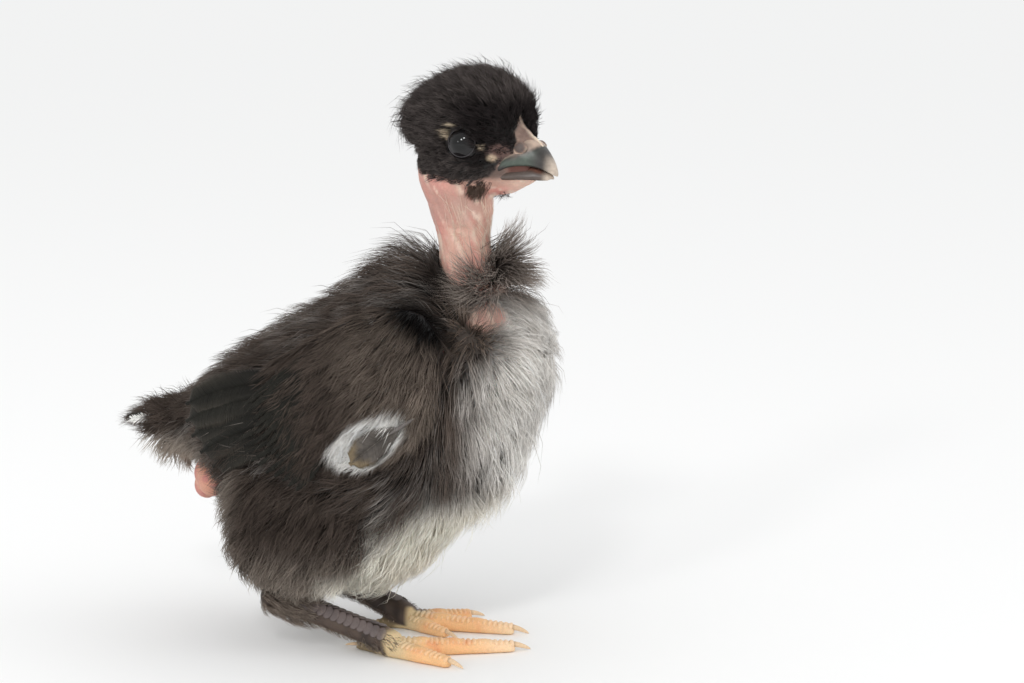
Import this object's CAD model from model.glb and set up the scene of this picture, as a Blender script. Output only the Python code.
"""The looks of the naked-neck (turken) chick: skin, down, feathers, beak, eyes and scaly legs.

Shapes are in millimetres in the part's drawing frame, where the body faces +X, +Y is its left and the floor
is Z = 0. The frame's right eye tells how far that drawing was moved to stand on its origin.
"""

import math

import bmesh
import bpy
import numpy as np
from mathutils import Matrix, Vector
from mathutils.bvhtree import BVHTree
from mathutils.kdtree import KDTree

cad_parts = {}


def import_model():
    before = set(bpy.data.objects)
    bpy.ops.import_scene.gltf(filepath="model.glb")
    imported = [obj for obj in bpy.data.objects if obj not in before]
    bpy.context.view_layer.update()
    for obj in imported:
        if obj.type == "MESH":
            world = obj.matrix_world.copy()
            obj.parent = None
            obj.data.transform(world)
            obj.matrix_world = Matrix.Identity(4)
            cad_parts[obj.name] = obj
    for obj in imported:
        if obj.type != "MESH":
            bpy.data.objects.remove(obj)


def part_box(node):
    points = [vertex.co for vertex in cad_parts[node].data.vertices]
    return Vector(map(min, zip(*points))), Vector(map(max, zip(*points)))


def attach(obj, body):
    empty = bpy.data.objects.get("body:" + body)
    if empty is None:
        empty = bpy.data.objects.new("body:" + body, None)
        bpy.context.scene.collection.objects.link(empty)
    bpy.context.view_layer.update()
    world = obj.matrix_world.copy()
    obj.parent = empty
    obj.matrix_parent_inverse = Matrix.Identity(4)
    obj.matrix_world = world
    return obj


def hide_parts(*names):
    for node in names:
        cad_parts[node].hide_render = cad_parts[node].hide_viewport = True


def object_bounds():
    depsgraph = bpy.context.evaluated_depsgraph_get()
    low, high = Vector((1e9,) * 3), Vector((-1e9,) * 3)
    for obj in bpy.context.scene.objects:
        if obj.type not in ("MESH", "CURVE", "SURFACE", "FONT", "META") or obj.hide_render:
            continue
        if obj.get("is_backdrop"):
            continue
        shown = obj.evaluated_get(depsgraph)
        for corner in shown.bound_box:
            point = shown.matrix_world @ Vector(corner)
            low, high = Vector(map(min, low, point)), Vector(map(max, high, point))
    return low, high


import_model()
CAD_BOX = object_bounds()

MM = 0.001
SIDES = {"right": -1, "left": 1}
SEED = 7

# Camera, mm and degrees: what it looks at, how far off and how high it stands, and its lens.
CAMERA_TARGET = (31.5, 8.5, 70.5)
CAMERA_AZIMUTH = 15
CAMERA_ELEVATION = 9
CAMERA_DISTANCE = 520.0
CAMERA_LENS = 79.48

# Floor's half width in metres, light strengths, and the ways to the sun and the small lamps in degrees.
FLOOR_REACH = 30.0
SKY_STRENGTH = 0.9
SUN_STRENGTH = 0.34
SUN_ANGLE = math.radians(40)
SUN_WAY = (95, 30)
GLINTS = [(-13, 23, 1.9), (4, 33, 2.3), (-36, 9, 0.4)]
GLINT_SIZE = 150.0
GLINT_DISTANCE = 1200.0

# Torso stations from tail to crop, mm: top X, Z, bottom X, Z, half width and depth of the down.
TORSO_STATIONS = [
    (-49.0, 57.0, -50.0, 42.0, 9.0, 4.5),
    (-41.0, 63.0, -42.0, 36.0, 14.0, 5.5),
    (-30.0, 70.0, -29.0, 28.0, 20.5, 6.0),
    (-19.0, 77.0, -17.0, 20.0, 25.0, 6.5),
    (-8.0, 83.5, -5.0, 11.5, 27.5, 7.0),
    (2.0, 90.0, 8.0, 13.5, 28.5, 7.0),
    (10.5, 93.5, 21.0, 25.0, 28.0, 7.5),
    (17.0, 92.5, 31.0, 35.0, 26.5, 8.0),
    (23.0, 88.5, 38.5, 46.0, 24.0, 8.0),
    (29.0, 83.0, 43.0, 57.5, 20.0, 7.0),
    (34.5, 77.0, 43.5, 67.5, 12.5, 5.5),
]
BREAST_WHORL = (30.0, 16.0, 75.0)
# The vent's middle, the half axes of its bare place and of its pink, and the lobes: centres and radii, mm.
VENT_CENTRE = (-38.6, 0.0, 37.6)
VENT_BARE = (8.5, 13.5, 7.6)
VENT_PINK = (9.5, 14.5, 8.0)
VENT_LOBES = [((-39.0, 0.0, 37.4), 4.6), ((-38.2, -4.2, 38.4), 4.0), ((-36.6, -7.2, 37.4), 3.5),
              ((-38.2, 4.2, 38.4), 4.0), ((-36.6, 7.2, 37.4), 3.5), ((-40.0, -2.6, 35.2), 3.0)]
# Spots, each an ellipsoid's centre and half axes, mm: on the body, then on the head in its own frame.
BARE_PATCH = ((31.2, 9.8, 78.9), (4.9, 4.8, 3.4))
SHOULDER_DARK = ((18.5, 7.0, 87.0), (5.0, 9.0, 6.0))
WING_LIGHT = ((17.0, 28.0, 60.0), (11.0, 10.0, 11.0))
WING_LIGHT_ABOVE = ((12.0, 28.0, 70.0), (12.0, 10.0, 10.0))
FACE_SPOTS = [((-1.3, 11.4, 4.1), (0.9, 3.0, 0.45)), ((-3.1, 11.4, 2.0), (0.6, 3.0, 1.2)),
              ((6.3, 7.8, -3.2), (0.85, 3.0, 0.8)), ((5.1, 8.2, -0.8), (0.3, 3.0, 0.7))]
LORE = ((8.0, 6.8, -1.9), (2.6, 3.5, 1.9))
JAW = ((5.6, 5.0, -8.0), (4.6, 4.0, 1.8))
MOUTH_CORNER = ((6.0, 5.6, -6.4), (3.8, 3.5, 1.5))
CHEEK_DARK = ((8.8, 5.0, -3.8), (2.8, 3.0, 1.2))
NOSTRIL_FLAP = ((12.2, 5.0, -0.9), (1.35, 2.4, 1.15))
NOSTRIL_SHADE = ((12.2, 4.0, -0.9), (2.0, 2.4, 1.6))
# The white patch of the wing: its centre and the way it slants in X and Z, and its half axes, mm.
WING_PATCH = ((8.5, 52.3), (0.86, 0.51), (9.8, 5.2))

# Neck stations from the throat to the crop, mm: centre X, Y, Z, half depth and half width.
NECK_STATIONS = [
    (20.8, -1.3, 118.0, 7.2, 6.4),
    (20.6, -1.2, 114.0, 8.0, 6.8),
    (21.0, -1.1, 108.0, 8.4, 6.9),
    (22.0, -0.7, 102.0, 7.3, 6.2),
    (22.5, -0.3, 96.0, 5.9, 5.6),
    (23.3, 0.0, 90.0, 6.1, 6.0),
    (25.0, 0.0, 84.0, 7.2, 7.6),
    (27.2, 0.0, 78.0, 9.0, 9.8),
    (28.5, 0.0, 71.0, 10.0, 11.0),
]
# The tuft's bands of roots: how far they turn round the neck, their height at its front and their fall.
TUFT = {"count": 1900, "turn": math.radians(75), "top": 90.6, "drop": 7.6, "spread": 1.7}
# How many bristles stand at a foot, hairs on the neck and plates in a row down a shank.
BRISTLES = 170
NECK_HAIRS = 260
SCUTES = 13
# Stations of the tail's stub, mm: X, Z, half height and half width.
TAIL_STATIONS = [(-36.0, 51.6, 6.0, 8.5), (-44.0, 51.2, 3.8, 7.0), (-52.0, 50.6, 2.2, 5.0),
                 (-56.0, 50.3, 1.0, 2.6)]

# The head's own frame stands between the eyes, with +X to the beak, turned towards the chick's right.
HEAD_CENTRE = (27.9, -1.5, 117.2)
HEAD_TURN = math.radians(-18)
# Stations of the head's skin from nape to beak, mm in the head's frame: X, top, bottom, half widths at
# the cap, the eyes and the jaw. The cap of down stands off it.
HEAD_STATIONS = [
    (-16.8, 5.2, 0.8, 2.6, 2.6, 2.2),
    (-14.8, 8.4, -1.4, 6.8, 6.2, 4.6),
    (-10.8, 12.5, -6.0, 9.8, 8.6, 6.6),
    (-5.0, 14.7, -10.7, 10.9, 9.7, 8.3),
    (0.0, 14.8, -12.0, 10.5, 9.5, 8.2),
    (4.0, 13.8, -12.1, 9.7, 8.0, 6.0),
    (7.2, 11.2, -11.3, 8.4, 6.4, 4.8),
    (8.9, 7.6, -10.6, 6.6, 5.5, 4.2),
    (9.9, 4.4, -10.1, 4.7, 4.9, 3.8),
    (11.4, 2.8, -9.4, 3.4, 4.1, 3.1),
    (13.4, 1.0, -8.4, 1.7, 2.9, 2.1),
]
HEAD_LEVELS = (0.36, 0.64, 0.86)
HEAD_DOWN_DEPTH = 2.2
# The lower edge of the cap of down on the side of the head, mm in the head's frame: X and Z.
CAP_HEM = [(-21.0, -3.0), (-14.5, -5.5), (-9.0, -7.6), (-5.0, -8.4), (-1.5, -8.6), (2.0, -8.5), (4.8, -7.6),
           (6.2, -6.3), (7.5, -4.3), (9.5, -3.0), (10.7, -2.4), (11.2, 3.2), (13.0, 6.4)]
# The bare roof between the cap and the beak: its hinder edge (X, Z), its half width by height (Z, Y) and
# the share of that width on the chick's left.
ROOF_EDGE = [(7.0, 5.6), (8.2, 5.2), (9.4, 3.3), (10.5, 1.3), (11.0, -0.2)]
ROOF_WIDTH = [(-2.0, 6.0), (1.2, 4.5), (2.6, 3.0), (4.2, 1.5), (5.8, 0.5)]
ROOF_FAR = 0.3
EYE_CENTRE = (0.0, 7.3, 0.0)
EYE_RADIUS = 4.35
EYE_FORWARD_TURN = math.radians(14)
# The fold and the lids' rim round the eye: how far out along its look, their radius, thickness and flatness.
EYE_FOLD = (2.4, 3.5, 0.34)
LID_RIM = (3.05, 3.12, 0.13, 1.3)
# Stations of the halves of the beak, mm in the head's frame: X, ridge, edge and half width; then the tips.
BEAK_UPPER_STATIONS = [
    (6.4, -2.4, -6.4, 5.3),
    (9.0, 0.0, -5.3, 5.0),
    (11.5, 1.0, -4.85, 4.5),
    (14.0, 0.5, -4.85, 3.7),
    (16.0, -1.3, -5.35, 2.8),
    (17.8, -3.6, -6.2, 1.8),
    (18.8, -5.4, -6.9, 0.9),
]
BEAK_UPPER_TIP = (19.2, -7.2)
BEAK_LOWER_STATIONS = [
    (6.4, -5.6, -8.1, 4.8),
    (9.0, -5.1, -8.0, 4.5),
    (11.5, -4.95, -7.9, 4.05),
    (14.0, -5.1, -7.9, 3.3),
    (16.0, -5.8, -8.0, 2.3),
    (17.3, -6.5, -8.0, 1.4),
]
BEAK_LOWER_TIP = (18.3, -7.5)
# Where the cere above ends and the horn of the upper beak begins, mm in the head's frame: X and Z.
CERE_LINE = [(5.5, -4.5), (6.4, -4.0), (8.0, -3.1), (11.3, -2.5), (14.2, -1.1), (15.2, -0.5), (16.0, 1.0)]
# Half of the beak's section, from ridge to edge: shares of its half width and of its height.
BEAK_PROFILE = [(0.0, 1.0), (0.32, 0.975), (0.62, 0.86), (0.86, 0.6), (1.0, 0.22), (0.95, 0.0)]
# The comb's crest (X, Z) and its widths below and above, and the swelling at each nostril, in that frame.
COMB_CREST = [(8.0, 5.4), (9.2, 4.2), (10.5, 3.1), (12.4, 1.7), (14.2, 0.5), (15.6, -0.7)]
COMB_WIDTHS = (1.7, 0.7)
NOSTRIL_SWELLING = ((12.1, 4.0, -0.9), (1.6, 1.2, 1.35))
# The wing's shell beside the torso and its stations along the arm, mm: X, top, bottom, thickness.
WING_DOME_OUT = 28.2
WING_DOME_MIDDLE = (4.0, 58.0)
WING_DOME_FALL = {"front": 0.0105, "back": 0.0066, "top": 0.0115, "bottom": 0.0060}
WING_STATIONS = [
    (23.5, 77.0, 60.0, 2.6),
    (18.0, 82.0, 51.5, 4.8),
    (10.0, 83.0, 46.5, 5.6),
    (1.0, 79.5, 46.5, 5.2),
    (-7.0, 75.0, 47.5, 4.2),
    (-14.0, 71.0, 51.0, 2.8),
]
WING_DOWN_DEPTH = 2.6
WING_ROOT_DEPTH = 4.5

# Leg joints, mm, then thigh stations from the flank to the hock: front X, Z, back X, Z, way out, half width.
LEG_JOINTS = {
    "right": {"hock": (-18.6, -15.5, 13.2), "foot": (8.6, -12.5, 3.3)},
    "left": {"hock": (-21.5, 15.0, 13.2), "foot": (4.8, 10.5, 3.3)},
}
THIGH_STATIONS = [
    (7.0, 47.0, -26.0, 46.0, 16.0, 6.0),
    (11.0, 38.0, -30.0, 39.0, 17.5, 9.8),
    (8.5, 29.0, -32.0, 32.5, 17.5, 10.2),
    (2.0, 20.5, -29.5, 25.0, 17.0, 8.8),
    (-3.5, 14.8, -24.5, 19.0, 16.0, 6.4),
    (-9.0, 13.0, -20.5, 14.4, 15.2, 4.4),
]
THIGH_DEPTH = 5.0
# Shank stations: share of the way from hock to foot, half depth and half width, mm.
SHANK_STATIONS = [
    (-0.10, 1.5, 1.3),
    (-0.05, 3.0, 2.5),
    (0.06, 3.4, 2.8),
    (0.35, 2.9, 2.3),
    (0.70, 2.8, 2.3),
    (0.93, 3.0, 2.9),
    (1.05, 2.6, 2.8),
]
# Toes: heading in degrees, length and radius, mm.
TOES = {
    "right": {"hallux": (160.0, 10.0, 1.7), "inner": (47.0, 13.5, 2.2),
              "middle": (22.0, 28.5, 2.5), "outer": (-19.0, 16.5, 2.4)},
    "left": {"hallux": (196.0, 10.0, 1.7), "inner": (-27.0, 13.5, 2.2),
             "middle": (2.0, 26.5, 2.5), "outer": (40.0, 17.0, 2.4)},
}
TOE_TAPER = 0.62
CLAW_LENGTH = 4.6
SOLE_SINK = 0.45

# Materials: roughness, grain to a metre, unevenness, bump and its height in metres, specular level, flesh.
LOOKS = {
    "flesh": (0.55, 2600.0, 0.08, 0.5, 0.00012, 0.3, 0.15),
    "down": (0.9, 1500.0, 0.10, 0.0, 0.0, 0.04, 0.0),
    "vane": (0.6, 1500.0, 0.15, 0.0, 0.0, 0.12, 0.0),
    "scale": (0.5, 2400.0, 0.10, 0.35, 0.0001, 0.35, 0.0),
    "horn": (0.34, 1400.0, 0.12, 0.25, 0.00008, 0.5, 0.0),
    "eye": (0.04, 3000.0, 0.08, 0.0, 0.0, 0.36, 0.0),
    "lid_skin": (0.6, 3000.0, 0.18, 0.4, 0.00008, 0.3, 0.0),
}
VOXEL = 0.5  # mm, of the skin's remesh
PATCH = 0.003  # of the bake's square, the width of one strand's patch
COAT_LIMIT = 190000  # triangles in one piece of coat

# Roots of down to a square mm, and the strands' thickness, mm.
DENSITY = {"torso": 3.55, "crop": 4.4, "wing": 5.2, "thigh": 4.6, "tail": 6.0, "shank": 7.0, "cap": 16.5}
THICK = {"torso": 0.175, "crop": 0.16, "wing": 0.16, "thigh": 0.17, "tail": 0.15, "shank": 0.13, "cap": 0.11,
         "tuft": 0.13, "throat": 0.10, "bristles": 0.11, "chin": 0.09, "neck": 0.085}
# Shares along a strand where its points are, and its width at each of them.
LONG = np.array([0.0, 0.33, 0.68, 1.0])
SHORT = np.array([0.0, 0.5, 1.0])
TAPER = {4: (0.95, 1.0, 0.68, 0.0), 3: (0.95, 0.95, 0.0)}
# Each coat piece's box of the bake's square: low U, low V, high U, high V.
CHART = {
    "down_torso": (0.01, 0.01, 0.49, 0.66), "down_cap_head": (0.51, 0.01, 0.99, 0.40),
    "down_cap_neck": (0.95, 0.50, 0.99, 0.54), "down_tuft": (0.51, 0.42, 0.74, 0.55),
    "down_wing_right": (0.01, 0.68, 0.24, 0.99), "down_wing_left": (0.26, 0.68, 0.49, 0.99),
    "down_thigh_right": (0.51, 0.62, 0.74, 0.80), "down_thigh_left": (0.76, 0.62, 0.99, 0.80),
    "down_shank_right": (0.51, 0.57, 0.55, 0.61), "down_shank_left": (0.76, 0.57, 0.80, 0.61),
    "bristles_right": (0.76, 0.50, 0.81, 0.55), "bristles_left": (0.83, 0.50, 0.88, 0.55),
    "down_throat_right": (0.76, 0.42, 0.79, 0.47), "down_throat_left": (0.81, 0.42, 0.84, 0.47),
    "hairs_chin": (0.90, 0.50, 0.94, 0.54), "hairs_neck": (0.86, 0.42, 0.99, 0.45),
    "down_crop": (0.86, 0.46, 0.99, 0.49), "down_tail": (0.88, 0.91, 0.99, 0.99),
    "feathers_wing_right": (0.51, 0.82, 0.62, 0.99), "feathers_wing_left": (0.64, 0.82, 0.74, 0.99),
    "alula_right": (0.76, 0.82, 0.86, 0.9), "alula_left": (0.76, 0.91, 0.86, 0.99),
    "feathers_tail": (0.88, 0.82, 0.99, 0.9),
}
# Outlines of feathers: shares along the shaft and of the full width.
FEATHER_SHAPES = {
    "round": ((0.0, 0.0), (0.12, 0.55), (0.3, 0.85), (0.65, 1.0), (0.9, 0.74), (1.0, 0.12)),
    "pointed": ((0.0, 0.0), (0.1, 0.6), (0.3, 1.0), (0.65, 0.8), (0.9, 0.4), (1.0, 0.05)),
    "brush": ((0.0, 0.3), (0.3, 0.8), (0.7, 1.0), (1.0, 0.7)),
    "leaf": ((0.0, 0.0), (0.22, 0.06), (0.3, 0.5), (0.45, 0.95), (0.68, 1.0), (0.9, 0.66), (1.0, 0.15)),
}
# Tiers of the wing's feathers, mm: X and Z of the first and last root and tip, and their lift off the shell.
QUILL = {"rim": 1.0, "width": 8.8, "shape": "round", "spacing": 0.36, "ragged": 0.04}
COVERT = {"rim": 0.4, "width": 3.4, "shape": "pointed", "spacing": 0.4, "ragged": 0.3}
WING_TIERS = [
    {"count": 5, "roots": ((-9.0, 65.5), (-8.0, 53.5)), "tips": ((-39.0, 56.8), (-32.0, 42.8)), "bow": 1.6,
     "out": ((0.4, 2.6), (0.2, 0.4)), **QUILL},
    {"count": 10, "roots": ((2.0, 67.5), (0.0, 53.0)), "tips": ((-25.5, 49.5), (-9.0, 40.0)), "bow": -1.0,
     "out": ((1.1, 3.4), (1.1, 3.0)), **COVERT},
    {"count": 11, "roots": ((-1.0, 73.0), (0.0, 57.0)), "tips": ((-21.5, 58.0), (-11.0, 44.5)), "bow": 0.6,
     "out": ((1.4, 3.9), (1.4, 3.6)), **COVERT},
]
ALULA = {"root": (18.6, 58.2), "tip": (5.2, 48.0), "bow": 0.4, "out": (2.8, 3.7)}
ALULA_WIDTH = 7.8
TAIL_FEATHERS = 9
TAIL_WHITE = 0


def linear(red, green, blue):
    """A linear colour from the 0 to 255 values of a screen."""
    return np.array([((c / 255 + 0.055) / 1.055) ** 2.4 if c > 10 else c / 255 / 12.92
                     for c in (red, green, blue)])


# Colours as a screen shows them: roots and tips of the coat, then everything else.
COATS = {
    "back": ((42, 36, 33), (108, 96, 88)), "wing": ((66, 57, 52), (150, 137, 125)),
    "black": ((12, 10, 10), (24, 21, 20)), "grey": ((98, 88, 81), (134, 120, 110)),
    "whorl": ((72, 62, 55), (132, 116, 103)), "fluff": ((98, 88, 81), (190, 178, 165)),
    "pale": ((252, 248, 242), (254, 252, 248)), "white": ((254, 252, 248), (254, 252, 248)),
    "cream": ((252, 244, 226), (255, 251, 240)), "cap": ((30, 27, 26), (106, 98, 95)),
    "spot": ((196, 172, 148), (226, 212, 184)), "tuft": ((56, 48, 44), (180, 168, 158)),
    "throat": ((84, 69, 61), (108, 92, 82)), "hair": ((238, 220, 202), (238, 220, 202)),
    "bristle": ((38, 32, 29), (38, 32, 29)), "stubble": ((38, 32, 29), (156, 142, 130)),
    "hock": ((48, 40, 36), (156, 142, 130)),
}
COATS = {name: (linear(*root), linear(*tip)) for name, (root, tip) in COATS.items()}
INK = {
    "dusk": (130, 117, 107), "face": (44, 39, 40), "lore": (104, 80, 74), "vent": (204, 150, 128),
    "pink": (212, 168, 152), "pink_red": (210, 142, 132), "pink_pale": (228, 202, 184),
    "pink_dull": (176, 142, 130), "jaw": (172, 138, 124), "corner": (84, 71, 65), "gape": (96, 62, 54),
    "lip": (140, 92, 76), "shank": (84, 71, 63), "shank_dark": (48, 40, 36), "scute": (112, 102, 102),
    "sole": (150, 132, 100), "foot": (214, 190, 148), "toe": (238, 188, 136), "toe_red": (230, 160, 114),
    "toe_pale": (246, 218, 184), "claw": (226, 196, 160), "claw_root": (150, 120, 92),
    "horn": (48, 44, 42), "horn_low": (78, 66, 60), "horn_green": (78, 90, 80), "horn_tip": (200, 184, 168),
    "cere": (190, 166, 148), "cere_dark": (106, 84, 76), "ridge": (222, 204, 182), "nostril": (92, 82, 78),
    "vane": (35, 34, 30), "vane_dark": (25, 23, 22), "vane_rim": (88, 82, 74), "shaft": (88, 80, 73),
    "alula": (100, 94, 89), "alula_rim": (124, 110, 88), "alula_shaft": (150, 142, 132),
    "sheath": (104, 99, 96), "lid": (40, 37, 38), "lid_rim": (66, 63, 65),
    "pupil": (6, 6, 6), "iris": (24, 22, 23), "eye_edge": (14, 13, 13),
}
INK = {name: linear(*colour) for name, colour in INK.items()}


# Plain mathematics

def smooth_rows(rows, count):
    """Rows of numbers read off one smooth curve through the given rows."""
    rows = np.array(rows, float)
    padded = np.vstack([2 * rows[0] - rows[1], rows, 2 * rows[-1] - rows[-2]])
    made = []
    for spot in np.linspace(0, len(rows) - 1, count):
        i = min(int(spot), len(rows) - 2)
        t = spot - i
        before, start, end, after = padded[i:i + 4]
        made.append(0.5 * (2 * start + (end - before) * t
                           + (2 * before - 5 * start + 4 * end - after) * t ** 2
                           + (3 * start - before - 3 * end + after) * t ** 3))
    return np.array(made)


def unit(vectors):
    return vectors / np.maximum(np.linalg.norm(vectors, axis=-1, keepdims=True), 1e-9)


def soft(value, low, high):
    """0 at low, 1 at high, smooth between them; low may be the larger."""
    t = np.clip((value - low) / (high - low), 0, 1)
    return t * t * (3 - 2 * t)


def mix(first, second, share):
    share = np.asarray(share)[..., None]
    return first * (1 - share) + second * share


def mirrored(points):
    """Points with their Y made positive, so that both sides are marked alike."""
    made = np.array(points, float)
    made[..., 1] = np.abs(made[..., 1])
    return made


def noise(points, size, seed=0):
    """Smooth noise from -1 to 1 whose lumps are about size mm across."""
    spots = np.asarray(points, float) / size + seed * 17.3
    cell = np.floor(spots).astype(np.int64)
    t = spots - cell
    t = t * t * (3 - 2 * t)
    total = np.zeros(spots.shape[:-1])
    for corner in range(8):
        step = np.array([(corner >> axis) & 1 for axis in range(3)])
        key = (cell + step) @ np.array([73856093, 19349663, 83492791]) + seed * 1013
        key = (key ^ (key >> 13)) * 1274126177 & 0xFFFFFF
        weight = np.prod(np.where(step == 1, t, 1 - t), axis=-1)
        total += weight * (key / 0x7FFFFF - 1)
    return total


def split(points):
    """The X, Y and Z of points."""
    return np.moveaxis(points, -1, 0)


HEAD_AXES = np.array(Matrix.Rotation(HEAD_TURN, 3, "Z"))


def from_head(points):
    """Drawing points from points in the head's frame."""
    return np.asarray(points, float) @ HEAD_AXES.T + HEAD_CENTRE


def to_head(points):
    return (np.asarray(points, float) - HEAD_CENTRE) @ HEAD_AXES


def find_shift():
    """How far the part was moved from its drawing, mm."""
    low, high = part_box("eye_right")
    x, y, z = EYE_CENTRE
    return np.array((low + high) / 2) / MM - from_head((x, -y, z))


SHIFT = find_shift()


# Surfaces as grids of points, mm: rings along a form, points round each ring

def ellipse_ring(centre, up, side, count):
    turns = np.linspace(0, 2 * math.pi, count, endpoint=False)[:, None]
    return np.array(centre) + np.array(up) * np.cos(turns) + np.array(side) * np.sin(turns)


def grid_normals(grid):
    """Outward unit normals of a grid that goes round a form."""
    along = np.gradient(grid, axis=0)
    around = (np.roll(grid, -1, axis=1) - np.roll(grid, 1, axis=1)) / 2
    normals = unit(np.cross(along, around))
    middle = grid.mean(axis=1, keepdims=True)
    if np.sum(normals * (grid - middle)) < 0:
        normals = -normals
    return normals


def torso_grid(rings=61, sides=72):
    """The torso inside its down."""
    made = []
    for top_x, top_z, low_x, low_z, half_width, depth in smooth_rows(TORSO_STATIONS, rings):
        top, low = np.array((top_x, 0, top_z)), np.array((low_x, 0, low_z))
        up = (top - low) / 2
        up = up * (1 - depth / np.linalg.norm(up))
        made.append(ellipse_ring((top + low) / 2, up, (0, half_width - depth, 0), sides))
    return np.array(made)


def neck_grid(rings=48, sides=40):
    return np.array([ellipse_ring((x, y, z), (depth, 0, 0), (0, width, 0), sides)
                     for x, y, z, depth, width in smooth_rows(NECK_STATIONS, rings)])


def cap_share(points):
    """1 where down grows on the head, 0 on its bare face and throat. Points are in the head's frame."""
    x, y, z = split(points)
    hem, roof = (np.interp(x, *np.array(line).T) for line in (CAP_HEM, ROOF_EDGE))
    low = soft(z - hem, -0.5, 0.9)
    wide = np.interp(z, *np.array(ROOF_WIDTH).T) * np.where(y > 0, ROOF_FAR, 1.0)
    bare = soft(z - roof, -0.3, 0.5) * soft(x, 7.6, 8.4) * soft(z, 6.6, 5.8)
    bare = bare * soft(np.abs(y) - wide, 0.6, -0.4)
    return low * (1 - bare)


def head_grid(rings=44, sides=56):
    """The head's skin, drawn in beside the beak so that the horn stands out of it."""
    made = []
    for x, top, low, cap, eye, jaw in smooth_rows(HEAD_STATIONS, rings):
        height = top - low
        levels = [top - share * height for share in HEAD_LEVELS]
        half = [(0.0, top), (0.55 * cap, top - 0.07 * height), (0.9 * cap, top - 0.2 * height),
                (cap, levels[0]), (eye, levels[1]), (jaw, levels[2]), (0.55 * jaw, low + 0.03 * height),
                (0.0, low)]
        steps = smooth_rows(half, sides // 2 + 1)
        right = [(x, max(y, 0.0), z) for y, z in steps]
        made.append(right + [(x, -y, z) for x, y, z in right[-2:0:-1]])
    grid = np.array(made)
    x, z = grid[..., 0], grid[..., 2]
    upper, lower = np.array(BEAK_UPPER_STATIONS), np.array(BEAK_LOWER_STATIONS)
    room = np.where(z > -5.4, np.interp(x, upper[:, 0], upper[:, 3]), np.interp(x, lower[:, 0], lower[:, 3]))
    room = room + 0.3 - 0.85 * soft(x, 6.6, 8.4)
    held = (x > 6.4) & (z < -2.0) & (z > -9.4)
    grid[..., 1] = np.where(held, np.clip(grid[..., 1], -room, room), grid[..., 1])
    return from_head(grid)


def wing_out(x, z):
    dx, dz = x - WING_DOME_MIDDLE[0], z - WING_DOME_MIDDLE[1]
    fall_x = np.where(dx > 0, WING_DOME_FALL["front"], WING_DOME_FALL["back"])
    fall_z = np.where(dz > 0, WING_DOME_FALL["top"], WING_DOME_FALL["bottom"])
    return WING_DOME_OUT - fall_x * dx * dx - fall_z * dz * dz


def wing_grid(side, rings=36, sides=48):
    """The wing's arm under its down."""
    made = []
    turns = np.linspace(0, 2 * math.pi, sides, endpoint=False)
    for x, top, low, thick in smooth_rows(WING_STATIONS, rings):
        middle, half = (top + low) / 2, (top - low) / 2 - 1.5
        z = middle + half * np.cos(turns)
        outer = max(thick / 2 - WING_DOWN_DEPTH * 0.8, 0.3)
        inner = thick / 2 + WING_ROOT_DEPTH * min(1.0, thick / 5)
        y = wing_out(x, z) + np.where(np.sin(turns) > 0, outer, inner) * np.sin(turns)
        made.append(np.stack([np.full(sides, x), side * y, z], axis=-1))
    return np.array(made)


def thigh_grid(side, rings=40, sides=48):
    """The thigh inside its down."""
    made = []
    for front_x, front_z, back_x, back_z, out, half_width in smooth_rows(THIGH_STATIONS, rings):
        front, back = np.array((front_x, side * out, front_z)), np.array((back_x, side * out, back_z))
        half = (front - back) / 2
        half = half * (1 - THIGH_DEPTH / np.linalg.norm(half))
        wide = max(half_width - THIGH_DEPTH, 1.6)
        made.append(ellipse_ring((front + back) / 2, half, (0, wide, 0), sides))
    return np.array(made)


def leg_axes(side_name):
    """The hock, the foot and the shank's directions: along it, across it and out of its front."""
    hock, foot = (np.array(LEG_JOINTS[side_name][key], float) for key in ("hock", "foot"))
    along = unit(foot - hock)
    across = unit(np.cross(along, (0, 0, 1.0)))
    return hock, foot, along, across, np.cross(across, along)


def shank_grid(side_name, rings=32, sides=32):
    hock, foot, _, across, front = leg_axes(side_name)
    return np.array([ellipse_ring(hock + (foot - hock) * share, front * depth, across * width, sides)
                     for share, depth, width in smooth_rows(SHANK_STATIONS, rings)])


def toe_line(side_name, toe_name):
    """A toe's root on the floor, its way, the way across it, its length and its radius."""
    heading, length, radius = TOES[side_name][toe_name]
    way = np.array((math.cos(math.radians(heading)), math.sin(math.radians(heading)), 0))
    root = np.array(LEG_JOINTS[side_name]["foot"], float)
    root[2] = 0
    return root, way, np.array((-way[1], way[0], 0)), length, radius


def toe_grid(side_name, toe_name, rings=30, sides=24):
    """A toe with a soft pad under each of its joints, flat where it stands."""
    root, way, across, length, radius = toe_line(side_name, toe_name)
    joints = max(2, round(length / 8))
    made = []
    for share in np.linspace(0, 1, rings):
        swell = 1 + 0.07 * math.cos(2 * math.pi * joints * share)
        thick = radius * (1 - (1 - TOE_TAPER) * share) * swell
        if share > 0.92:
            thick *= math.sqrt(1 - ((share - 0.92) / 0.1) ** 2)
        centre = root + way * length * share + np.array((0, 0, thick - SOLE_SINK))
        ring = ellipse_ring(centre, (0, 0, thick), across * thick, sides)
        ring[:, 2] = np.maximum(ring[:, 2], 0.02)
        made.append(ring)
    return np.array(made)


def dome_grid(centre, along, across, up, rings, sides, power=1.0):
    """An ellipsoid of these half axes, as a grid of rings from its lower pole to its upper."""
    made = []
    for lift in np.linspace(-0.49 * math.pi, 0.49 * math.pi, rings):
        wide = math.cos(lift) ** power
        made.append(ellipse_ring(centre + up * math.sin(lift), along * wide, across * wide, sides))
    return np.array(made)


def ball_grid(centre, size):
    return dome_grid(np.array(centre), *np.diag(size), 16, 20)


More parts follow.
